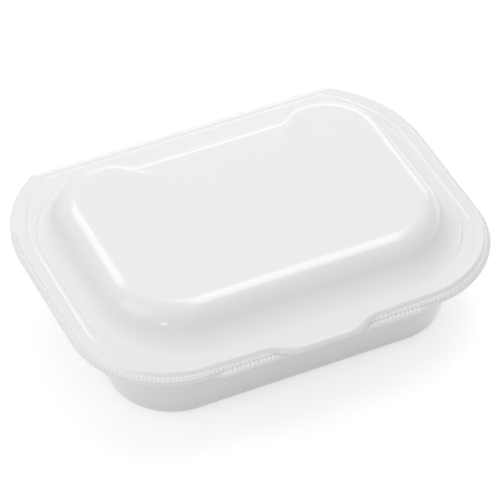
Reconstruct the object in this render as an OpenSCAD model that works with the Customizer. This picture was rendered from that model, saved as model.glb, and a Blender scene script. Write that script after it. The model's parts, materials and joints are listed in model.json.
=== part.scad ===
// Foam clamshell container: a tapered tray and a domed lid, pressed from one foam sheet
// and folded shut along a hinge at the rear. Millimetres, +Z up, origin under the middle.

/* [Flange] */
// Width over the rim, side to side
flange_w = 200; // [180:1:230]
// Depth from the front rim to the fold at the rear
flange_d = 148; // [140:0.5:170]
// Radius of the two front corners
front_corner_r = 44.5; // [38:0.5:50]
// Radius of the two rear corners, which the fold cuts off
rear_corner_r = 59; // [54:0.5:64]
// How far past the fold the rear corner arcs would have run
rear_corner_run = 11; // [8:0.5:14]
// Width of the pressed rim
rim_w = 2.8; // [2:0.1:4]
// Width of the pressed rim where it meets the pull tab
rim_tab_w = 0.9; // [0.6:0.1:2]
// Length over which the front rim narrows towards the tab
rim_taper = 50; // [30:1:60]
// Length of plain edge left between the pressed rim and the fold
rim_plain = 29; // [20:1:36]
// Thickness of the pressed rim
rim_t = 1.2; // [1:0.1:1.6]
// Thickness of the foam sheet
sheet_t = 2; // [1.6:0.1:2.4]

/* [Tray] */
// Height of the plane where tray and lid meet
part_z = 38.7; // [30:0.1:50]
// How far the floor is drawn in from the rim at each side
floor_inset_side = 21; // [18:0.5:24]
// How far the floor is drawn in from the rim at the front
floor_inset_front = 18.5; // [16:0.5:22]
// Corner radius of the wall at the floor
floor_corner_r = 28; // [24:0.5:32]
// Corner radius of the wall under the flange
wall_corner_r = 43; // [38:0.5:46]
// Width of the flange over the wall at the sides
wall_inset_side = 6.8; // [5:0.1:7.5]
// Width of the flange over the wall at the front
wall_inset_front = 8; // [6:0.1:9]
// Width of the flange over the wall at the rear
wall_inset_rear = 9.4; // [8:0.1:12]
// Height of the tray's rim edge
edge_h = 2.9; // [2:0.1:3.5]
// How far the rim edge leans in towards its foot
edge_lean = 1; // [0.3:0.1:1.4]
// Radius of the edge round the floor
floor_r = 4; // [3:0.5:6]
// How far the wings beside the finger notch stand out from the rim
wing_out = 2.1; // [1:0.1:3]
// How far the wings slope down to their edge
wing_drop = 1.2; // [0.5:0.1:1.5]
// Half length from the middle to where each wing ends
wing_far = 49; // [44:0.5:52]
// Half width of the finger notch between the wings
notch_half = 13; // [11:0.5:16]

/* [Lid] */
// Height of the lid above the meeting plane
lid_h = 20.2; // [18:0.1:26]
// Rise of the side flange above the rim
flange_rise = 0.8; // [0.5:0.1:1.2]
// Rise of the raised shelf above the side flange
shelf_rise = 1.4; // [0.8:0.1:2]
// Distance from the rim to the edge of the raised shelf
shelf_inset = 8.8; // [8:0.1:10]
// Distance from the fold to the edge of the raised shelf
shelf_rear = 6.2; // [5:0.1:7]
// Width of the slope at the edge of the raised shelf
shelf_run = 1.1; // [0.8:0.1:2]
// Width of the small step round the foot of the dome
foot_step = 1; // [0.6:0.1:1.2]
// Distance from the fold to the foot of the dome at the rear
foot_rear = 9.2; // [8.5:0.1:12]
// Steepest slope of the dome's wall in degrees
wall_slope = 75; // [66:1:78]
// Slope in degrees at which the dome's foot leaves the shelf
foot_start = 5; // [0:1:12]
// Radius of the hollow foot of the dome
foot_r = 10.5; // [8:0.1:13]
// Radius of the top edge of the dome
crest_r = 10.8; // [8:0.1:12]
// Corner radius of the dome's wall at the front
dome_corner_r = 34; // [30:0.5:38]
// Corner radius of the dome's wall at the rear
dome_rear_r = 29; // [26:0.5:34]
// Rise of the crowned top from its edge to the middle
crown_h = 1; // [0.4:0.1:2]
// Depth of the recess in the dome's rear wall
recess_d = 6.2; // [4:0.1:8]
// Half width of the recess at its bottom
recess_in = 34.5; // [30:0.5:36]
// Half width of the recess at its mouth
recess_out = 48; // [44:0.5:50]
// How far the front pull tab stands out from the rim
tab_out = 4.5; // [3.5:0.1:6]
// Half width of the tab at its tip
tab_tip = 11.5; // [9:0.5:13]
// Half width of the tab at its root
tab_root = 27; // [22:0.5:30]

/* [Hinge] */
// Radius of the round fold on the hinge axis
fold_r = 1.2; // [1:0.1:1.6]
// Gap between the lid and the round fold
fold_gap = 0.35; // [0.3:0.05:0.6]
// Gap between the closed lid and the tray
lid_gap = 0.05; // [0.03:0.01:0.1]

/* [Hidden] */

// Points along each stretch of every outline, so that all outlines match point by point
front_count = 40;
corner_count = 10;
side_count = 5;
rear_corner_count = 9;
rear_count = 24;
// Smallest width kept where a band fades out
sliver = 0.15;

// Places of the rim and of the fold
half_w = flange_w / 2;
front_y = tab_out / 2 - (flange_d + fold_r) / 2;
hinge_y = front_y + flange_d;
rear_arc_y = hinge_y + rear_corner_run - rear_corner_r;
lid_rear = fold_r + fold_gap;

// Heights
edge_z = part_z - edge_h;
rim_top_z = part_z + rim_t;
lid_under_z = part_z + lid_gap;
side_z = rim_top_z + flange_rise;
shelf_z = side_z + shelf_rise;
crescent_z = side_z + shelf_rise / 2;
top_z = part_z + lid_h;
tab_under_z = shelf_z - sheet_t * 1.2;

// Lengths over which the rim, the tab's edge, the wings and the notch fade in
rim_fade = 8;
tab_fade = 4;
wing_fade = 5;
notch_fade = 2.5;
// Start and end of the rise to the front band, as shares of the front corner
raise_from = 0.15;
raise_to = 0.9;
// Reach of the level ledge along the rear, forward from the fold, and the length over which it fades out
ledge_reach = 24;
ledge_fade = 14;
// Lean of the riser behind the rim, depth of the rim on the underside, and offset of the shelf underneath
riser_lean = 0.4;
rim_under = 1.2;
under_run = sheet_t * 0.4;
// Size of the middle ring of each flat panel, and the height it has on the crowned top
panel_share = 0.5;
crown_share = 0.7;

// Dome: its two radii, drawn in together where the lid is too low for both of them
arc_share = 0.995;
dome_h = top_z - crown_h - shelf_z;
arc_h = crest_r * (1 - cos(wall_slope)) + foot_r * (cos(foot_start) - cos(wall_slope));
arc_fit = min(1, arc_share * dome_h / arc_h);
crest_fit = crest_r * arc_fit;
foot_fit = foot_r * arc_fit;

// Dome: offset outward from its wall, height and slope of each ring of its section
foot_run = foot_fit * (sin(wall_slope) - sin(foot_start));
crest_run = crest_fit * sin(wall_slope);
crest_base_z = top_z - crown_h - crest_fit * (1 - cos(wall_slope));
foot_top_z = shelf_z + foot_fit * (cos(foot_start) - cos(wall_slope));
wall_run = (crest_base_z - foot_top_z) / tan(wall_slope);
skirt_w = foot_run + wall_run;
slope_steps = [0, 0.2, 0.4, 0.6, 0.8];
shelf_steps = [0, 1 / 3, 2 / 3, 1];
crest_section = [for (s = slope_steps)
    let (a = s * wall_slope)
    [crest_fit * sin(a) - crest_run, crest_base_z + crest_fit * (cos(a) - cos(wall_slope)), a]];
foot_section = [for (s = slope_steps)
    let (a = mix(foot_start, wall_slope, 0.8 - s))
    [skirt_w - foot_fit * (sin(a) - sin(foot_start)), shelf_z + foot_fit * (cos(foot_start) - cos(a)), a]];
wall_section = [[0, crest_base_z, wall_slope], [wall_run, foot_top_z, wall_slope]];
dome_section = concat(crest_section, wall_section, foot_section);
under_section = concat([crest_section[0], crest_section[2]], wall_section, [foot_section[1], foot_section[3]]);

// Dome: growth of its rear corners for each millimetre from the wall to the foot
rear_spread = 1.6;
// Dome: place of its wall, behind its foot and the step down to the shelf edge
foot_inset = shelf_inset + foot_step + 2 * sliver;
dome_half_w = half_w - foot_inset - skirt_w;
dome_front = front_y + foot_inset + skirt_w;
dome_rear = hinge_y - foot_rear - skirt_w;

// Blends
function mix(a, b, t) = a + (b - a) * t;
function ease(t) = let (c = min(max(t, 0), 1)) c * c * (3 - 2 * c);

// Stretches of an outline, each without its last point
function straight(p, q, n) = [for (i = [0 : n - 1]) mix(p, q, i / n)];
function eased(p, q, n) = [for (i = [0 : n - 1]) mix(p, q, (1 - cos(180 * i / n)) / 2)];
function arc(cx, cy, r, a0, a1, n) =
    [for (i = [0 : n - 1]) let (a = mix(a0, a1, i / n)) [cx + r * cos(a), cy + r * sin(a)]];

// Rounded outline: half width, front, rear, corner radii and the height of the rear arcs' centres.
// A rear line below the top of those arcs cuts them off at a sharp corner.
function outline(w, front, rear, rf, rr, arc_y) =
    let (turn = asin(min(1, (rear - arc_y) / rr)))
    let (end = [w - rr + rr * cos(turn), arc_y + rr * sin(turn)])
    concat(
        straight([rf - w, front], [w - rf, front], front_count),
        arc(w - rf, front + rf, rf, -90, 0, corner_count),
        straight([w, front + rf], [w, arc_y], side_count),
        arc(w - rr, arc_y, rr, 0, turn, rear_corner_count),
        eased(end, [-end[0], end[1]], rear_count),
        arc(rr - w, arc_y, rr, 180 - turn, 180, rear_corner_count),
        straight([-w, arc_y], [-w, front + rf], side_count),
        arc(rf - w, front + rf, rf, 180, 270, corner_count));

// Flange outline at a distance in from the rim, with the rear line at a distance from the fold
function flange_loop(inset, rear_inset) =
    outline(half_w - inset, front_y + inset, hinge_y - rear_inset,
        front_corner_r - inset, rear_corner_r - inset, rear_arc_y);

// Tray outline at distances in from the rim at the sides and front, with one corner radius
function wall_loop(side, front, r) =
    let (rear = hinge_y - wall_inset_rear - side + wall_inset_side)
    outline(half_w - side, front_y + front, rear, r, r, rear - r);

// Dome outline at an offset outward from its wall, without and with the rear recess
function recess_at(x) = ease((recess_out - abs(x)) / (recess_out - recess_in));
function plain_loop(u) =
    let (rear_r = dome_rear_r + u * (u > 0 ? rear_spread : 1))
    outline(dome_half_w + u, dome_front - u, dome_rear + u, dome_corner_r + u, rear_r, dome_rear + u - rear_r);
function dome_loop(u) =
    [for (p = plain_loop(u)) [p[0], p[1] - (p[1] > 0 ? recess_d * recess_at(p[0]) : 0)]];

// Outlines and heights to points
function at_height(loop, z) = [for (p = loop) [p[0], p[1], z]];
function shrunk(loop, s, mid) = [for (p = loop) [p[0] * s, mix(mid, p[1], s)]];

// Shell from a list of matching rings, closed by a point at each end
module shell(rings, first, last) {
    n = len(rings[0]);
    count = len(rings);
    points = concat([first], [for (r = rings) each r], [last]);
    end = len(points) - 1;
    caps = [for (i = [0 : n - 1]) let (j = (i + 1) % n)
        each [[0, 1 + j, 1 + i], [end, 1 + (count - 1) * n + i, 1 + (count - 1) * n + j]]];
    sides = [for (k = [0 : count - 2], i = [0 : n - 1])
        let (j = (i + 1) % n, a = 1 + k * n, b = a + n)
        each [[a + i, a + j, b + j], [a + i, b + j, b + i]]];
    polyhedron(points = points, faces = concat(caps, sides));
}

// Lid: shares of the tab and of its thin edge, of the pressed rim, and of the raised front band
function tab_at(p) = p[1] < 0 ? ease((tab_root - abs(p[0])) / (tab_root - tab_tip)) : 0;
function tab_edge_at(p) = p[1] < 0 ? ease((tab_tip + 1.5 * tab_fade - abs(p[0])) / tab_fade) : 0;
function rim_at(p) =
    let (taper = p[1] < 0 ? min(1, max(0, (abs(p[0]) - tab_root) / rim_taper)) : 1)
    mix(sliver, mix(rim_tab_w / rim_w, 1, taper), ease((hinge_y - rim_plain - p[1]) / rim_fade));
function raised_at(p) =
    let (turn = 1 - (p[1] - front_y) / front_corner_r)
    ease((turn - raise_from) / (raise_to - raise_from));
function ledge_at(p) = ease((p[1] - hinge_y + ledge_reach) / ledge_fade);

// Lid: heights of the flange, of the crescents in the corners and of the underside
function flange_z(p) = mix(side_z, shelf_z, raised_at(p));
function crescent_at(p) = mix(crescent_z, shelf_z, max(raised_at(p), ledge_at(p)));
function with_flange(loop) = [for (p = loop) [p[0], p[1], flange_z(p)]];
function with_crescent(loop) = [for (p = loop) [p[0], p[1], crescent_at(p)]];
function with_rim_under(loop) =
    [for (p = loop) [p[0], p[1], mix(lid_under_z, tab_under_z, tab_edge_at(p))]];
function with_under(loop) = [for (p = with_flange(loop)) [p[0], p[1], max(lid_under_z, p[2] - sheet_t)]];

// Lid: ring of the slope at the shelf's edge, from its top at 0 to its foot at 1
function shelf_ring(t) =
    [for (p = flange_loop(shelf_inset - shelf_run * t, shelf_rear - shelf_run * t))
        [p[0], p[1], mix(crescent_at(p), flange_z(p), ease(t))]];

// Lid: edge of the raised flange, which runs out to the tip of the tab
lid_edge = flange_loop(0, lid_rear);
lid_inner = flange_loop(rim_w, lid_rear + sliver);
function riser_loop(lean) =
    [for (i = [0 : len(lid_edge) - 1])
        let (p = mix(lid_edge[i], lid_inner[i], rim_at(lid_edge[i]) * (1 + lean / rim_w)))
        [p[0], mix(p[1], front_y - tab_out + sliver + lean, tab_at(p))]];
riser_foot = riser_loop(0);
lid_rim = [for (i = [0 : len(lid_edge) - 1])
    let (p = lid_edge[i])
    [p[0], tab_at(p) > 0 ? min(p[1], riser_foot[i][1] - sliver) : p[1]]];
dome_mid = (dome_front + dome_rear) / 2;

// Lid: foot of the step round the dome, level with the ledge behind it, and that ledge's edge on both sides
foot_plain = plain_loop(skirt_w + foot_step);
foot_low = dome_loop(skirt_w + foot_step);
foot_ring = [for (i = [0 : len(foot_low) - 1])
    [foot_low[i][0], foot_low[i][1], crescent_at(foot_plain[i])]];
ledge_loop = plain_loop(skirt_w + foot_step + sliver);
ledge_under = plain_loop(skirt_w - under_run);

module lid() {
    panel = shrunk(plain_loop(crest_section[0][0]), panel_share, dome_mid);
    panel_z = top_z - crown_h * (1 - crown_share);
    top_rings = concat(
        [at_height(panel, panel_z)],
        [for (s = dome_section) at_height(dome_loop(s[0]), s[1])],
        [foot_ring, with_crescent(ledge_loop)],
        [for (t = shelf_steps) shelf_ring(t)],
        [with_flange(riser_loop(riser_lean)),
        at_height(riser_foot, rim_top_z),
        at_height(lid_rim, rim_top_z)]);
    under_rings = concat(
        [with_rim_under(lid_rim),
        with_rim_under(riser_loop(rim_under)),
        with_under(flange_loop(shelf_inset + under_run, shelf_rear + under_run)),
        at_height(ledge_under, shelf_z - sheet_t)],
        [for (i = [len(under_section) - 1 : -1 : 0])
            let (s = under_section[i])
            at_height(dome_loop(s[0] - sheet_t * sin(s[2])), s[1] - sheet_t * cos(s[2]))],
        [at_height(panel, panel_z - sheet_t)]);
    color("whitesmoke")
        shell(concat(top_rings, under_rings), [0, dome_mid, top_z], [0, dome_mid, top_z - sheet_t]);
}

// Tray: rim pushed out at the wings and cut back at the finger notch
function front_at(p) = p[1] < front_y + rim_w ? 1 : 0;
function wing_at(p) =
    let (x = abs(p[0]))
    front_at(p) * ease((wing_far - x) / wing_fade + 0.5) * ease((x - notch_half) / notch_fade);
function notch_at(p) = front_at(p) * ease((notch_half - abs(p[0])) / notch_fade + 0.5);
function tray_rim(inset) =
    [for (p = flange_loop(inset, 0))
        [p[0], p[1] + notch_depth * notch_at(p) - wing_out * wing_at(p)]];
notch_depth = wall_inset_front * 0.4;
wing_root = 0.6;

// Tray: sizes of the wall between the flange and the floor, with small radii where they meet
wall_angle = atan(edge_z / (floor_inset_side - wall_inset_side));
wall_push = sheet_t / sin(wall_angle);
lip_r = 1.5;
arc_mid = 1 - sin(45);
floor_steps = [0, 0.35, 0.7, 1];

// Tray: ring of the tapered wall at a height, pushed in by a distance
function taper_loop(z, push) =
    let (fall = 1 - z / edge_z)
    wall_loop(mix(wall_inset_side, floor_inset_side, fall) + push,
        mix(wall_inset_front, floor_inset_front, fall) + push,
        mix(wall_corner_r, floor_corner_r, fall) - push);
function taper_ring(z, push) = at_height(taper_loop(z, push), z);

// Tray: ring of the rounded edge round the floor, from level at 0 to the slope of the wall at 1
function floor_ring(s, r, z, push) =
    let (a = s * wall_angle)
    let (run = r * tan(wall_angle / 2) - r * sin(a))
    at_height(taper_loop(z, push + run), z + r * (1 - cos(a)));

module tray() {
    floor_mid = shrunk(taper_loop(0, 0), panel_share, 0);
    edge_top = tray_rim(0);
    inside = concat(
        [at_height(floor_mid, sheet_t)],
        [for (s = floor_steps) floor_ring(s, floor_r + sheet_t, sheet_t, wall_push)],
        [taper_ring(part_z - lip_r, wall_push),
        taper_ring(part_z - lip_r * arc_mid, wall_push - lip_r * arc_mid),
        taper_ring(part_z, wall_push - lip_r),
        [for (p = flange_loop(wing_root, wing_root)) [p[0], p[1] + notch_depth * notch_at(p), part_z]],
        [for (p = edge_top) [p[0], p[1], part_z - wing_drop * wing_at(p)]]]);
    outside = concat(
        [at_height(tray_rim(edge_lean), edge_z),
        taper_ring(edge_z, -lip_r),
        taper_ring(edge_z - lip_r * arc_mid, -lip_r * arc_mid),
        taper_ring(edge_z - lip_r, 0)],
        [for (i = [len(floor_steps) - 1 : -1 : 0]) floor_ring(floor_steps[i], floor_r, 0, 0)],
        [at_height(floor_mid, 0)]);
    reach = edge_top[front_count + corner_count + side_count + rear_corner_count][0];
    color("whitesmoke") {
        shell(concat(inside, outside), [0, 0, sheet_t], [0, 0, 0]);
        translate([-reach, hinge_y, part_z])
            rotate([0, 90, 0])
                cylinder(h = 2 * reach, r = fold_r, $fn = 24);
    }
}

tray();
lid();
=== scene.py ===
import json
import math

import bpy
import numpy as np
from mathutils import Matrix, Quaternion, Vector


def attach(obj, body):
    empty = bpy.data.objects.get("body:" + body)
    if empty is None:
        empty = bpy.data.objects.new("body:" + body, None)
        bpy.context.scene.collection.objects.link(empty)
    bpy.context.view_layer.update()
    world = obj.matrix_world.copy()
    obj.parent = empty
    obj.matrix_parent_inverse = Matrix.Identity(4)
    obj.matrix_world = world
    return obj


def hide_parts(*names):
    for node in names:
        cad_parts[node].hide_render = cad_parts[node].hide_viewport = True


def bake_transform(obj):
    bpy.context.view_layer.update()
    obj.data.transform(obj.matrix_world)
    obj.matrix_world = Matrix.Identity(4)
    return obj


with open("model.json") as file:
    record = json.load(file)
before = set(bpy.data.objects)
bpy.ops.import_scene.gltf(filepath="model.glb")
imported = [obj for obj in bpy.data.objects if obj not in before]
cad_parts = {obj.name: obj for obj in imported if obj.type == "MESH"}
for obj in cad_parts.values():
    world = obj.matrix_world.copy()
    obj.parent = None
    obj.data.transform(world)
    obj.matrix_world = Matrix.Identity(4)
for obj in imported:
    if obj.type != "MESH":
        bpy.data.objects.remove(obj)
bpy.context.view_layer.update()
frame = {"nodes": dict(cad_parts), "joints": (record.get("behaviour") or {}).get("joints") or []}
scene = bpy.context.scene
scene.view_settings.view_transform = "Standard"
mm = 0.001
print("frame loaded:", sorted(frame["nodes"]))

# the fold line at the rear, where tray and lid meet
hingePos = frame["joints"][0]["pos_m"]
hingeY, partZ = hingePos[1] / mm, hingePos[2] / mm

# outline shared by tray and lid, in millimetres; one step along the edge is one rib
flange = {
    "halfW": 100.0, "depth": 148.0, "frontCorner": 44.5, "rearCorner": 59.0, "rearRun": 11.0,
    "steps": {"front": 55, "corner": 35, "side": 28, "rearCorner": 28, "rear": 58},
    "fine": 10,
}
frontY = hingeY - flange["depth"]
rearArcY = hingeY + flange["rearRun"] - flange["rearCorner"]


def mix(a, b, t):
    return a + (b - a) * t


def ease(t):
    t = np.clip(t, 0.0, 1.0)
    return t * t * (3 - 2 * t)


def line(p, q, n):
    t = np.arange(n)[:, None] / n
    return (1 - t) * np.array(p, float) + t * np.array(q, float)


def arc(cx, cy, r, a0, a1, n):
    a = np.radians(a0 + (a1 - a0) * np.arange(n) / n)
    return np.stack([cx + r * np.cos(a), cy + r * np.sin(a)], 1)


# rounded outline with matching points, front left corner first and then anticlockwise
def outline(halfW, front, rear, frontR, rearR, arcY, fine=1):
    n = {k: v * fine for k, v in flange["steps"].items()}
    turn = math.degrees(math.asin(min(1.0, (rear - arcY) / rearR)))
    endX = halfW - rearR + rearR * math.cos(math.radians(turn))
    endY = arcY + rearR * math.sin(math.radians(turn))
    return np.concatenate([
        line((frontR - halfW, front), (halfW - frontR, front), n["front"]),
        arc(halfW - frontR, front + frontR, frontR, -90, 0, n["corner"]),
        line((halfW, front + frontR), (halfW, arcY), n["side"]),
        arc(halfW - rearR, arcY, rearR, 0, turn, n["rearCorner"]),
        line((endX, endY), (-endX, endY), n["rear"]),
        arc(rearR - halfW, arcY, rearR, 180 - turn, 180, n["rearCorner"]),
        line((-halfW, arcY), (-halfW, front + frontR), n["side"]),
        arc(frontR - halfW, front + frontR, frontR, 180, 270, n["corner"])])


def flangeLoop(inset, rearInset, fine=1):
    return outline(flange["halfW"] - inset, frontY + inset, hingeY - rearInset,
                   flange["frontCorner"] - inset, flange["rearCorner"] - inset, rearArcY, fine)


def ring(loop, z):
    return np.column_stack([loop, np.broadcast_to(z, len(loop))])


def shrunk(loop, share, midY):
    return np.column_stack([loop[:, 0] * share, mix(midY, loop[:, 1], share)])


# rings with a soft step between two loops
def stepRings(loopA, zA, loopB, zB, count):
    return [ring(mix(loopA, loopB, t), mix(zA, zB, ease(t))) for t in np.linspace(0, 1, count)]


def addMesh(name, verts, faces):
    mesh = bpy.data.meshes.new(name)
    mesh.from_pydata((verts * mm).tolist(), [], faces)
    mesh.validate()
    mesh.shade_smooth()
    obj = bpy.data.objects.new(name, mesh)
    scene.collection.objects.link(obj)
    return obj


# shell from rings, closed at both ends; a finer ring joins a coarse one through many-sided faces
def shellMesh(name, rings, first, last):
    verts, faces, starts = [np.array([first])], [], []
    count = 1
    for r in rings:
        starts.append((count, len(r)))
        verts.append(r)
        count += len(r)
    verts.append(np.array([last]))
    for (a, n), (b, m) in zip(starts, starts[1:]):
        if n == m:
            i = np.arange(n)
            j = (i + 1) % n
            faces += np.stack([a + i, b + i, b + j, a + j], 1).tolist()
        else:
            small, large = min(n, m), max(n, m)
            k = large // small
            for i in range(small):
                run = [(i * k + s) % large for s in range(k + 1)]
                if n < m:
                    faces.append([a + (i + 1) % small, a + i] + [b + s for s in run])
                else:
                    faces.append([a + s for s in reversed(run)] + [b + i, b + (i + 1) % small])
    (a, n), (b, m) = starts[0], starts[-1]
    faces += [[0, a + i, a + (i + 1) % n] for i in range(n)]
    faces += [[count, b + (i + 1) % m, b + i] for i in range(m)]
    return addMesh(name, np.concatenate(verts), faces)


# the lid: a ribbed rim, a flange that rises at the front, a raised shelf and a dome
lid = {
    "height": 20.2, "sheet": 2.0, "gap": 0.05, "rear": 1.55,
    "rimW": 2.4, "rimTab": 0.9, "rimTaper": 50.0, "rimT": 1.2, "rimPlain": 29.0, "rimFade": 8.0,
    "rimRise": 0.2, "rimFall": 0.5, "rimSlope": 0.45, "ribHeight": 0.55, "ribStart": 0.4,
    "ribFade": 0.6, "riserRun": (0.8, 1.4), "underRun": 1.2, "underIn": 0.8,
    "flangeRise": 0.8, "raise": (0.15, 0.9), "ledgeReach": 24.0, "ledgeFade": 14.0,
    "shelfRise": 1.4, "shelfInset": 8.8, "shelfEdge": 8.4, "shelfRear": 6.0,
    "shelfRun": 1.6, "shelfTilt": (20, 11), "shelfTurn": 0.75, "tiltReach": 40.0, "tiltFade": 30.0,
    "footRear": 9.2, "footStep": 1.0, "footStart": 5.0, "footR": 10.5,
    "wallSlope": 75.0, "crestR": 10.8, "cornerR": 34.0, "rearR": 29.0, "rearSpread": 1.6,
    "crown": 1.0, "crownEdge": 2.2, "recessDepth": 6.2, "recessIn": 34.5, "recessOut": 48.0,
    "tabOut": 4.5, "tabTip": 11.5, "tabRoot": 27.0, "tabFade": 4.0, "tabUnder": 2.4, "tabRound": 1.4,
}
rimTopZ = partZ + lid["rimT"]
lidUnderZ = partZ + lid["gap"]
sideZ = rimTopZ + lid["flangeRise"]
shelfZ = sideZ + lid["shelfRise"]
crescentZ = sideZ + lid["shelfRise"] / 2
topZ = partZ + lid["height"]
sliver = 0.15


def tabAt(p):
    t = (lid["tabRoot"] - abs(p[:, 0])) / (lid["tabRoot"] - lid["tabTip"])
    return np.where(p[:, 1] < 0, ease(t), 0)


def tabEdgeAt(p):
    t = (lid["tabTip"] + 0.6 * lid["tabFade"] - abs(p[:, 0])) / lid["tabFade"]
    return np.where(p[:, 1] < 0, ease(t), 0)


def rimAt(p):
    taper = np.where(p[:, 1] < 0, np.clip((abs(p[:, 0]) - lid["tabRoot"]) / lid["rimTaper"], 0, 1), 1)
    full = mix(lid["rimTab"] / lid["rimW"], 1, taper)
    return mix(sliver, full, ease((hingeY - lid["rimPlain"] - p[:, 1]) / lid["rimFade"]))


def raisedAt(p):
    low, high = lid["raise"]
    turn = 1 - (p[:, 1] - frontY) / flange["frontCorner"]
    return ease((turn - low) / (high - low))


def flangeZ(p):
    return mix(sideZ, shelfZ, raisedAt(p))


def crescentAt(p):
    ledge = ease((p[:, 1] - hingeY + lid["ledgeReach"]) / lid["ledgeFade"])
    return mix(crescentZ, shelfZ, np.maximum(raisedAt(p), ledge))


# the rim slopes up to the raised flange at the front
def riseAt(p):
    return lid["rimSlope"] * raisedAt(p) * (1 - tabAt(p)) * rimAt(p)


def riserLoop(lean, fine=1):
    edge = flangeLoop(0, lid["rear"], fine)
    inner = flangeLoop(lid["rimW"], lid["rear"] + sliver, fine)
    rim = rimAt(edge)
    p = mix(edge, inner, (rim + lean / lid["rimW"] * np.minimum(1, 3 * rim))[:, None])
    p[:, 1] = mix(p[:, 1], frontY - lid["tabOut"] + sliver + lean * lid["tabRound"], tabAt(p))
    return p


def rimLoop(fine=1):
    edge, foot = flangeLoop(0, lid["rear"], fine), riserLoop(0, fine)
    edge[:, 1] = np.where(tabAt(edge) > 0, np.minimum(edge[:, 1], foot[:, 1] - sliver), edge[:, 1])
    return edge


# section of the dome from its crowned top to its hollow foot: offset from the wall, height and slope
def domeSection():
    slope, start = math.radians(lid["wallSlope"]), math.radians(lid["footStart"])
    crestR, footR = lid["crestR"], lid["footR"]
    crestBase = topZ - lid["crown"] - crestR * (1 - math.cos(slope))
    footTop = shelfZ + footR * (math.cos(start) - math.cos(slope))
    wallRun = (crestBase - footTop) / math.tan(slope)
    skirt = wallRun + footR * (math.sin(slope) - math.sin(start))
    section = [(crestR * (math.sin(a) - math.sin(slope)),
                crestBase + crestR * (math.cos(a) - math.cos(slope)), a)
               for a in np.linspace(math.radians(lid["crownEdge"]), slope, 15)]
    section += [(skirt - footR * (math.sin(a) - math.sin(start)),
                 shelfZ + footR * (math.cos(start) - math.cos(a)), a)
                for a in np.linspace(slope, start, 17)]
    return section, skirt


section, skirt = domeSection()
footInset = lid["shelfInset"] + lid["footStep"] + 2 * sliver
domeHalfW = flange["halfW"] - footInset - skirt
domeFront = frontY + footInset + skirt
domeRear = hingeY - lid["footRear"] - skirt
domeMid = (domeFront + domeRear) / 2


def domeLoop(u, recess=1.0):
    rearR = lid["rearR"] + u * (lid["rearSpread"] if u > 0 else 1)
    p = outline(domeHalfW + u, domeFront - u, domeRear + u,
                lid["cornerR"] + u, rearR, domeRear + u - rearR)
    inRecess = ease((lid["recessOut"] - abs(p[:, 0])) / (lid["recessOut"] - lid["recessIn"]))
    p[:, 1] -= np.where(p[:, 1] > 0, recess * lid["recessDepth"] * inRecess, 0)
    return p


# ribs pressed across the rim: flat crowns with narrow grooves between them
def ribWave(count):
    frac = (np.arange(count) % flange["fine"]) / flange["fine"]
    return 1 - (0.5 + 0.5 * np.cos(2 * np.pi * frac)) ** 3


# ring of the crowned top; the rear recess fades out towards the middle
def panelRing(share, z):
    return ring(shrunk(domeLoop(section[0][0], ease((share - 0.55) / 0.45)), share, domeMid), z)


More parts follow.
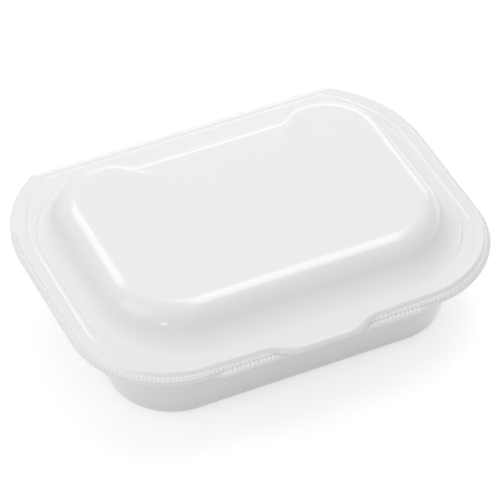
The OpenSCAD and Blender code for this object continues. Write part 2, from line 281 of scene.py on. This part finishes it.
def buildLid():
    crownZ = section[0][1]
    rings = [panelRing(s, mix(topZ, crownZ, s * s))
             for s in (0.06, 0.16, 0.28, 0.4, 0.52, 0.64, 0.75, 0.85, 0.93)]
    rings += [ring(domeLoop(u), z) for u, z, a in section]

    # soft step down to the crescents, then the shelf's edge: a gentle slope that turns down at its end
    footEdge, footLow = domeLoop(skirt + 0.05), domeLoop(skirt + lid["footStep"])
    rings += stepRings(footEdge, shelfZ, footLow, crescentAt(domeLoop(skirt + lid["footStep"], 0)), 7)
    ledge = domeLoop(skirt + lid["footStep"] + sliver, 0)
    rings.append(ring(ledge, crescentAt(ledge)))
    shelfTop = flangeLoop(lid["shelfEdge"], lid["shelfRear"])
    shelfLow = flangeLoop(lid["shelfEdge"] - lid["shelfRun"], lid["shelfRear"] - lid["shelfRun"])
    rings.append(ring(mix(ledge, shelfTop, 0.95), crescentAt(shelfTop)))
    drop = np.maximum(crescentAt(shelfTop) - flangeZ(shelfLow), 0.01)
    toRear = ease((shelfTop[:, 1] - hingeY + lid["tiltReach"]) / lid["tiltFade"])
    tilt = np.radians(mix(*lid["shelfTilt"], toRear))
    turn = lid["shelfTurn"]
    share = np.minimum(0.8, turn * lid["shelfRun"] * np.tan(tilt) / drop)
    for t in (0, 0.08, 0.18, 0.3, 0.45, 0.6, 0.72, 0.78, 0.84, 0.9, 0.96, 1):
        fall = share * (t / turn) ** 1.15 if t < turn else mix(share, 1, ease((t - 0.7) / 0.3))
        z = mix(crescentAt(shelfTop), flangeZ(shelfLow), fall)
        rings.append(ring(mix(shelfTop, shelfLow, t), z))

    # flat flange out to the riser, and the riser down to the rim, rounded over at the tab
    riserFoot = riserLoop(0)
    riserTop = riserLoop(mix(*lid["riserRun"], raisedAt(riserFoot)))
    flat = [mix(shelfLow, riserTop, t) for t in (0.06, 0.35, 0.65, 0.94)]
    rings += [ring(p, flangeZ(p)) for p in flat]
    tab = tabAt(riserFoot)
    for t in np.linspace(0, 1, 11):
        fall = mix(t ** 1.5, 1 - math.sqrt(1 - t * t), tab)
        z = mix(flangeZ(riserTop), rimTopZ + riseAt(riserFoot), fall)
        rings.append(ring(mix(riserTop, riserFoot, t), z))

    # ribbed rim with a rounded edge; the grooves fade out where the rim narrows
    fine = flange["fine"]
    foot, edge = riserLoop(0, fine), rimLoop(fine)
    width = np.linalg.norm(edge - foot, axis=1)
    ribbed = ease((width - lid["ribStart"]) / lid["ribFade"])
    swell = ribbed * width / lid["rimW"]
    groove = lid["ribHeight"] * (ribWave(len(foot)) - 1) * ribbed
    for q in (0.04, 0.1, 0.18, 0.28, 0.4, 0.52, 0.64, 0.76, 0.87, 0.95):
        rise = lid["rimRise"] * math.sin(math.pi * min(1, q / 0.6))
        bead = (rise - lid["rimFall"] * ease((q - 0.3) / 0.7)) * swell
        z = rimTopZ + riseAt(foot) * (1 - q) + bead + groove * ease((q - 0.22) / 0.3)
        rings.append(ring(mix(foot, edge, q), z))
    under = mix(lidUnderZ, shelfZ - lid["tabUnder"], tabEdgeAt(edge))
    lip = rimTopZ - (lid["rimFall"] + 0.05) * swell + groove * 0.8
    for q, t in ((0.985, 0.12), (1.0, 0.3), (1.0, 0.7), (0.96, 0.95)):
        rings.append(ring(mix(foot, edge, q), mix(lip, under, t)))

    # underside of the rim, the flange and the dome
    rim, inner = rimLoop(), riserLoop(lid["underRun"])
    foot = riserLoop(0)
    rings.append(ring(mix(foot, rim, 0.9), mix(lidUnderZ, shelfZ - lid["tabUnder"], tabEdgeAt(rim))))
    rings.append(ring(inner, mix(lidUnderZ, shelfZ - lid["tabUnder"], tabEdgeAt(inner))))
    low = flangeLoop(lid["shelfInset"] + lid["underIn"], lid["shelfRear"] + lid["underIn"])
    for t in (0.3, 0.65, 1.0):
        p = mix(inner, low, t)
        rings.append(ring(p, np.maximum(lidUnderZ, flangeZ(p) - lid["sheet"])))
    rings.append(ring(domeLoop(skirt - lid["underIn"], 0), shelfZ - lid["sheet"]))
    for u, z, a in section[-4::-1]:
        rings.append(ring(domeLoop(u - lid["sheet"] * math.sin(a)), z - lid["sheet"] * math.cos(a)))
    rings += [panelRing(s, mix(topZ, crownZ, s * s) - lid["sheet"])
              for s in (0.9, 0.75, 0.6, 0.4, 0.2, 0.08)]
    return shellMesh("foamLid", rings, (0, domeMid, topZ), (0, domeMid, topZ - lid["sheet"]))


# the tray: a flat floor, a plain tapered wall, and a rim with two ribbed wings beside the finger notch;
# wingTop steps out across a wing, each step with its place, its share of the rib and its fall
tray = {
    "sheet": 2.0, "floorSide": 21.0, "floorFront": 18.5, "floorCorner": 28.0, "floorR": 4.0,
    "wallSide": 6.8, "wallFront": 8.0, "wallRear": 9.4, "wallCorner": 43.0, "lipR": 1.5,
    "edgeH": 2.9, "edgeLean": 1.0, "wingOut": 2.1, "wingDrop": 1.2, "wingFar": 49.0, "wingFade": 5.0,
    "wingRoot": 0.6, "edgeRound": 0.4, "notchHalf": 11.5, "notchFade": 2.5, "notchDepth": 3.2,
    "ribFrom": 17.5, "ribTo": 48.0, "ribFade": 1.5, "ribHeight": 0.55, "ribSink": 0.3, "frontBand": 3.0,
    "wingTop": ((0.02, 0, 0), (0.12, 0, 0), (0.21, 0, 0), (0.226, 0.5, -0.25),
                (0.3, 0.9, -0.2), (0.4, 1, -0.1), (0.52, 1, 0.04), (0.65, 1, 0.2),
                (0.77, 1, 0.36), (0.87, 0.85, 0.56), (0.95, 0.5, 0.8)),
}
edgeZ = partZ - tray["edgeH"]


def atFront(p):
    return (p[:, 1] < frontY + tray["frontBand"]).astype(float)


def wingAt(p):
    x = abs(p[:, 0])
    far = ease((tray["wingFar"] - x) / tray["wingFade"] + 0.5)
    return atFront(p) * far * ease((x - tray["notchHalf"]) / tray["notchFade"])


def notchAt(p):
    return atFront(p) * ease((tray["notchHalf"] - abs(p[:, 0])) / tray["notchFade"] + 0.5)


def trayRim(inset, fine=1):
    p = flangeLoop(inset, 0, fine)
    p[:, 1] += tray["notchDepth"] * notchAt(p) - tray["wingOut"] * wingAt(p)
    return p


def wingRoot(fine=1):
    p = flangeLoop(tray["wingRoot"], tray["wingRoot"], fine)
    p[:, 1] += tray["notchDepth"] * notchAt(p)
    return p


def taperLoop(z, push):
    fall = 1 - z / edgeZ
    side = mix(tray["wallSide"], tray["floorSide"], fall) + push
    front = mix(tray["wallFront"], tray["floorFront"], fall) + push
    r = mix(tray["wallCorner"], tray["floorCorner"], fall) - push
    rear = hingeY - tray["wallRear"] - side + tray["wallSide"]
    return outline(flange["halfW"] - side, frontY + front, rear, r, r, rear - r)


def buildTray():
    wallAngle = math.atan(edgeZ / (tray["floorSide"] - tray["wallSide"]))
    wallPush = tray["sheet"] / math.sin(wallAngle)
    lip = tray["lipR"]

    def floorRing(s, r, z, push):
        a = s * wallAngle
        run = r * math.tan(wallAngle / 2) - r * math.sin(a)
        return ring(taperLoop(z, push + run), z + r * (1 - math.cos(a)))

    inner = tray["floorR"] + tray["sheet"]
    start = floorRing(0, inner, tray["sheet"], wallPush)[:, :2]
    rings = [ring(shrunk(start, s, 0), tray["sheet"]) for s in (0.1, 0.3, 0.5, 0.7, 0.85, 0.96)]
    rings += [floorRing(s, inner, tray["sheet"], wallPush) for s in np.linspace(0, 1, 9)]
    rings += [ring(taperLoop(z, wallPush), z) for z in np.linspace(10, partZ - lip - 0.4, 5)]
    rings += [ring(taperLoop(partZ - lip * (1 - math.sin(a)), wallPush - lip * (1 - math.cos(a))),
                   partZ - lip * (1 - math.sin(a))) for a in np.linspace(0, math.pi / 2, 7)]

    # flat top of the rim, and the wings that slope down beyond the lid's edge
    root = wingRoot()
    rings.append(ring(mix(rings[-1][:, :2], root, 0.1), partZ))
    rings.append(ring(mix(rings[-1][:, :2], root, 0.95), partZ))
    fine = flange["fine"]
    root, edge = wingRoot(fine), trayRim(0, fine)
    wing = wingAt(edge)
    x = abs(edge[:, 0])
    ribbed = wing
    for inside in (x - tray["ribFrom"], tray["ribTo"] - x):
        ribbed = ribbed * ease(inside / tray["ribFade"])
    wave = (tray["ribHeight"] * ribWave(len(edge)) - tray["ribSink"]) * ribbed
    drop = partZ - tray["wingDrop"] * wing

    # what lies under the lid's edge stays flat, so that the lid can rest on it
    cover = rimLoop(fine)[:, 1] - 0.01
    for q, share, fall in tray["wingTop"]:
        p = mix(root, edge, q)
        z = mix(partZ, drop, fall) + wave * share - tray["edgeRound"] * max(0, 4 * q - 3) ** 2
        rings.append(ring(p, np.where(p[:, 1] > cover, np.minimum(z, partZ), z)))
    low = trayRim(tray["edgeLean"], fine)
    for t in (0.06, 0.14, 0.3, 0.6, 0.85, 0.94):
        rings.append(ring(mix(edge, low, t), mix(drop - tray["edgeRound"], edgeZ, t)))

    # underside of the rim, outside of the wall, and the floor
    low = trayRim(tray["edgeLean"])
    top = taperLoop(edgeZ, -lip)
    rings += [ring(mix(low, top, t), edgeZ) for t in (0.05, 0.5, 0.95)]
    rings += [ring(taperLoop(edgeZ - lip * (1 - math.sin(a)), -lip * (1 - math.cos(a))),
                   edgeZ - lip * (1 - math.sin(a))) for a in np.linspace(math.pi / 2, 0, 7)]
    rings += [ring(taperLoop(z, 0), z) for z in np.linspace(edgeZ - lip - 0.4, 5, 6)]
    rings += [floorRing(s, tray["floorR"], 0, 0) for s in np.linspace(1, 0, 9)]
    start = rings[-1][:, :2]
    rings += [ring(shrunk(start, s, 0), 0) for s in (0.96, 0.85, 0.7, 0.5, 0.3, 0.1)]
    return shellMesh("foamTray", rings, (0, 0, tray["sheet"]), (0, 0, 0))


# the fold: a round roll on the hinge line, and a thin web of foam that wraps it from lid to tray
fold = {
    "rollR": 1.2, "webT": 0.3, "webGap": 0.06, "tip": 0.6, "tipRun": 1.2,
    "roundSteps": 32, "alongSteps": 60,
}


def sweptMesh(name, profile, halfX):
    xs = halfX * np.sin(np.linspace(-1, 1, fold["alongSteps"] + 1) * np.pi / 2)
    n = len(profile)
    slim = mix(fold["tip"], 1, ease((halfX - abs(xs)) / fold["tipRun"]))
    verts = [(x, hingeY + s * y, partZ + s * z) for x, s in zip(xs, slim) for y, z in profile]
    faces = [[k * n + i, k * n + (i + 1) % n, (k + 1) * n + (i + 1) % n, (k + 1) * n + i]
             for k in range(len(xs) - 1) for i in range(n)]
    faces += [list(range(n))[::-1], [(len(xs) - 1) * n + i for i in range(n)]]
    return addMesh(name, np.array(verts), faces)


def buildRoll(halfX):
    a = np.linspace(0, 2 * np.pi, fold["roundSteps"], endpoint=False)
    profile = np.stack([fold["rollR"] * np.cos(a), fold["rollR"] * np.sin(a)], 1)
    return sweptMesh("foldRoll", profile, halfX)


def buildWeb(halfX):
    inside = fold["rollR"] + fold["webGap"]
    a = np.radians(np.linspace(-95, 80, 15))
    roundPart = np.stack([inside * np.cos(a), inside * np.sin(a)], 1)
    onTray = [(0.03, -2.6), (0.03, -1.9)]
    onLid = [(-0.5, 1.52), (-1.3, 1.76), (-2.2, 1.82), (-3.4, 1.7)]
    path = np.concatenate([onTray, roundPart, onLid])
    tangent = np.gradient(path, axis=0)
    normal = np.stack([tangent[:, 1], -tangent[:, 0]], 1)
    normal /= np.linalg.norm(normal, axis=1)[:, None]
    taper = np.array([0.1, 0.6] + [1] * len(roundPart) + [0.9, 0.8, 0.7, 0.5])[:, None]
    profile = np.concatenate([path, (path + normal * fold["webT"] * taper)[::-1]])[::-1]
    return sweptMesh("foldWeb", profile, halfX)


# foam with a smooth satin skin: small cells, faint mottling and a slightly uneven gloss
foam = {
    "color": (0.885, 0.885, 0.88), "shade": 0.97,
    "roughness": (0.26, 0.36), "specular": (0.1, 0.5), "coat": 0.8, "coatRoughness": 0.14,
    "cellScale": 1500.0, "dimpleScale": 420.0, "cloudScale": 36.0,
    "bump": 0.1, "cellShare": 0.5, "grainDepth": 0.4,
    "matte": 0.2, "rimGloss": (41.95, 42.15), "crestGloss": (53.2, 55.0), "lean": -0.06,
}


# a maths node fed by sockets or plain numbers
def mathNode(tree, operation, *values):
    node = tree.nodes.new("ShaderNodeMath")
    node.operation = operation
    for socket, value in zip(node.inputs, values):
        if isinstance(value, bpy.types.NodeSocket):
            tree.links.new(value, socket)
        else:
            socket.default_value = value
    return node.outputs["Value"]


# a value carried from one span to another
def rangeNode(tree, source, ends, span=(0, 1)):
    node = tree.nodes.new("ShaderNodeMapRange")
    node.inputs["From Min"].default_value, node.inputs["From Max"].default_value = span
    node.inputs["To Min"].default_value, node.inputs["To Max"].default_value = ends
    tree.links.new(source, node.inputs["Value"])
    return node.outputs["Result"]


def noiseNode(tree, coords, scale, detail):
    node = tree.nodes.new("ShaderNodeTexNoise")
    node.inputs["Scale"].default_value = scale
    node.inputs["Detail"].default_value = detail
    tree.links.new(coords, node.inputs["Vector"])
    return node.outputs["Fac"]


def foamMaterial():
    mat = bpy.data.materials.new("foamSkin")
    mat.use_nodes = True
    tree = mat.node_tree
    nodes, links = tree.nodes, tree.links
    shader = nodes["Principled BSDF"]
    shader.inputs["Coat Roughness"].default_value = foam["coatRoughness"]
    coords = nodes.new("ShaderNodeTexCoord").outputs["Object"]

    clouds = noiseNode(tree, coords, foam["cloudScale"], 3)
    dimples = noiseNode(tree, coords, foam["dimpleScale"], 4)
    cells = nodes.new("ShaderNodeTexVoronoi")
    cells.feature = "SMOOTH_F1"
    cells.inputs["Scale"].default_value = foam["cellScale"]
    links.new(coords, cells.inputs["Vector"])

    tone = nodes.new("ShaderNodeMix")
    tone.data_type = "RGBA"
    base = foam["color"]
    tone.inputs["A"].default_value = (*[c * foam["shade"] for c in base], 1)
    tone.inputs["B"].default_value = (*base, 1)
    links.new(clouds, tone.inputs["Factor"])
    links.new(tone.outputs["Result"], shader.inputs["Base Color"])

    # the drawn foot of the dome is duller than its crest and the pressed rim
    place = nodes.new("ShaderNodeSeparateXYZ")
    links.new(coords, place.inputs["Vector"])
    height = mathNode(tree, "MULTIPLY_ADD", place.outputs["Y"], foam["lean"], place.outputs["Z"])
    rimBand = rangeNode(tree, place.outputs["Z"], (1, 0), [z * mm for z in foam["rimGloss"]])
    crestBand = rangeNode(tree, height, (0, 1), [z * mm for z in foam["crestGloss"]])
    sheen = mathNode(tree, "ADD", rimBand, crestBand)
    links.new(mathNode(tree, "MULTIPLY", sheen, foam["coat"]), shader.inputs["Coat Weight"])
    links.new(rangeNode(tree, sheen, foam["specular"]), shader.inputs["Specular IOR Level"])
    gloss = rangeNode(tree, dimples, foam["roughness"])
    dull = rangeNode(tree, sheen, (foam["matte"], 0))
    links.new(mathNode(tree, "ADD", gloss, dull), shader.inputs["Roughness"])

    grain = mathNode(tree, "MULTIPLY_ADD", cells.outputs["Distance"], foam["cellShare"], dimples)
    bump = nodes.new("ShaderNodeBump")
    bump.inputs["Strength"].default_value = foam["bump"]
    bump.inputs["Distance"].default_value = foam["grainDepth"] * mm
    links.new(grain, bump.inputs["Height"])
    links.new(bump.outputs["Normal"], shader.inputs["Normal"])
    return mat


foamLid = buildLid()
print("lid:", len(foamLid.data.polygons), "faces")
foamTray = buildTray()
print("tray:", len(foamTray.data.polygons), "faces")
foldHalf = float(flangeLoop(0, 0)[:, 0][flangeLoop(0, 0)[:, 1] > hingeY - 0.01].max())
foldRoll = buildRoll(foldHalf)
foldWeb = buildWeb(foldHalf - 0.3)

skin = foamMaterial()
for piece in (foamLid, foamTray, foldRoll, foldWeb):
    piece.data.materials.append(skin)
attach(foamLid, "lid")
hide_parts("lid")
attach(foamTray, "tray")
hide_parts("tray")
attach(foldRoll, "tray")
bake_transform(foldWeb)

# pale floor, white where nothing shades it
stage = {"size": 6.0, "color": (0.64, 0.64, 0.64), "lift": 0.52}


def buildFloor():
    half = stage["size"] / 2
    mesh = bpy.data.meshes.new("floor")
    corners = [(-half, -half, 0), (half, -half, 0), (half, half, 0), (-half, half, 0)]
    mesh.from_pydata(corners, [], [(0, 1, 2, 3)])
    obj = bpy.data.objects.new("floor", mesh)
    scene.collection.objects.link(obj)
    obj.location.z = -0.0002
    mat = bpy.data.materials.new("paleFloor")
    mat.use_nodes = True
    tree = mat.node_tree
    nodes, links = tree.nodes, tree.links
    nodes.clear()
    paint = nodes.new("ShaderNodeBsdfDiffuse")
    paint.inputs["Color"].default_value = (*stage["color"], 1)
    glow = nodes.new("ShaderNodeEmission")
    path = nodes.new("ShaderNodeLightPath").outputs
    shiny = mathNode(tree, "ADD", path["Is Glossy Ray"], path["Is Transmission Ray"])
    seen = mathNode(tree, "ADD", path["Is Camera Ray"], shiny)
    seen.node.use_clamp = True
    links.new(mathNode(tree, "MULTIPLY", seen, stage["lift"]), glow.inputs["Strength"])
    both = nodes.new("ShaderNodeAddShader")
    links.new(paint.outputs["BSDF"], both.inputs[0])
    links.new(glow.outputs["Emission"], both.inputs[1])
    out = nodes.new("ShaderNodeOutputMaterial")
    links.new(both.outputs["Shader"], out.inputs["Surface"])
    mesh.materials.append(mat)
    return obj


buildFloor()

# soft studio light: a long box overhead to the right, two behind, a wide one at the left, a small one
# low at the front, and an even fill
lampDistance = 1.2
lamps = {
    "overhead": {"toward": (0.33, 0.17, 0.93), "size": (0.8, 0.36), "spin": -28, "power": 2.5},
    "behind": {"toward": (-0.16, 0.66, 0.735), "size": (0.62, 0.22), "spin": 0, "power": 1.15},
    "backdrop": {"toward": (0.53, 0.78, 0.34), "size": (1.05, 0.36), "spin": 0, "power": 1.7},
    "left": {"toward": (-0.85, -0.1, 0.5), "size": (0.8, 0.8), "spin": 0, "power": 1.9},
    "spark": {"toward": (-0.62, -0.77, 0.1), "size": (0.12, 0.12), "spin": 0, "power": 0.6},
}
fill = 0.66


def addLamp(name, spec):
    light = bpy.data.lights.new(name, "AREA")
    light.shape = "RECTANGLE"
    light.size, light.size_y = spec["size"]
    light.energy = spec["power"]
    obj = bpy.data.objects.new(name, light)
    scene.collection.objects.link(obj)
    toward = Vector(spec["toward"]).normalized()
    obj.location = Vector((0, 0, partZ * mm)) + toward * lampDistance
    turn = Quaternion((0, 0, 1), math.radians(spec["spin"]))
    obj.rotation_euler = (toward.to_track_quat("Z", "Y") @ turn).to_euler()
    obj.visible_camera = False


for name, spec in lamps.items():
    addLamp(name, spec)
world = bpy.data.worlds.new("studio")
world.use_nodes = True
sky = world.node_tree.nodes["Background"]
sky.inputs["Color"].default_value = (1, 1, 1, 1)
sky.inputs["Strength"].default_value = fill
scene.world = world
print("lamps set:", len(lamps))

# camera at the photo's angle
shot = {
    "place": (-0.49641, -1.00487, 1.07444), "azimuth": -26.263, "elevation": 42.984,
    "roll": 1.036, "lens": 246.56,
}


def addCamera():
    data = bpy.data.cameras.new("camera")
    data.lens = shot["lens"]
    data.sensor_width = 36
    obj = bpy.data.objects.new("camera", data)
    scene.collection.objects.link(obj)
    az, el = math.radians(shot["azimuth"]), math.radians(shot["elevation"])
    back = Vector((math.sin(az) * math.cos(el), -math.cos(az) * math.cos(el), math.sin(el)))
    right = Vector((math.cos(az), math.sin(az), 0))
    up = back.cross(right)
    turn = math.radians(shot["roll"])
    tilted = right * math.cos(turn) + up * math.sin(turn)
    up = up * math.cos(turn) - right * math.sin(turn)
    axes = Matrix((tilted, up, back)).transposed().to_4x4()
    obj.matrix_world = Matrix.Translation(shot["place"]) @ axes
    data.clip_start, data.clip_end = 0.05, 20
    scene.camera = obj


addCamera()
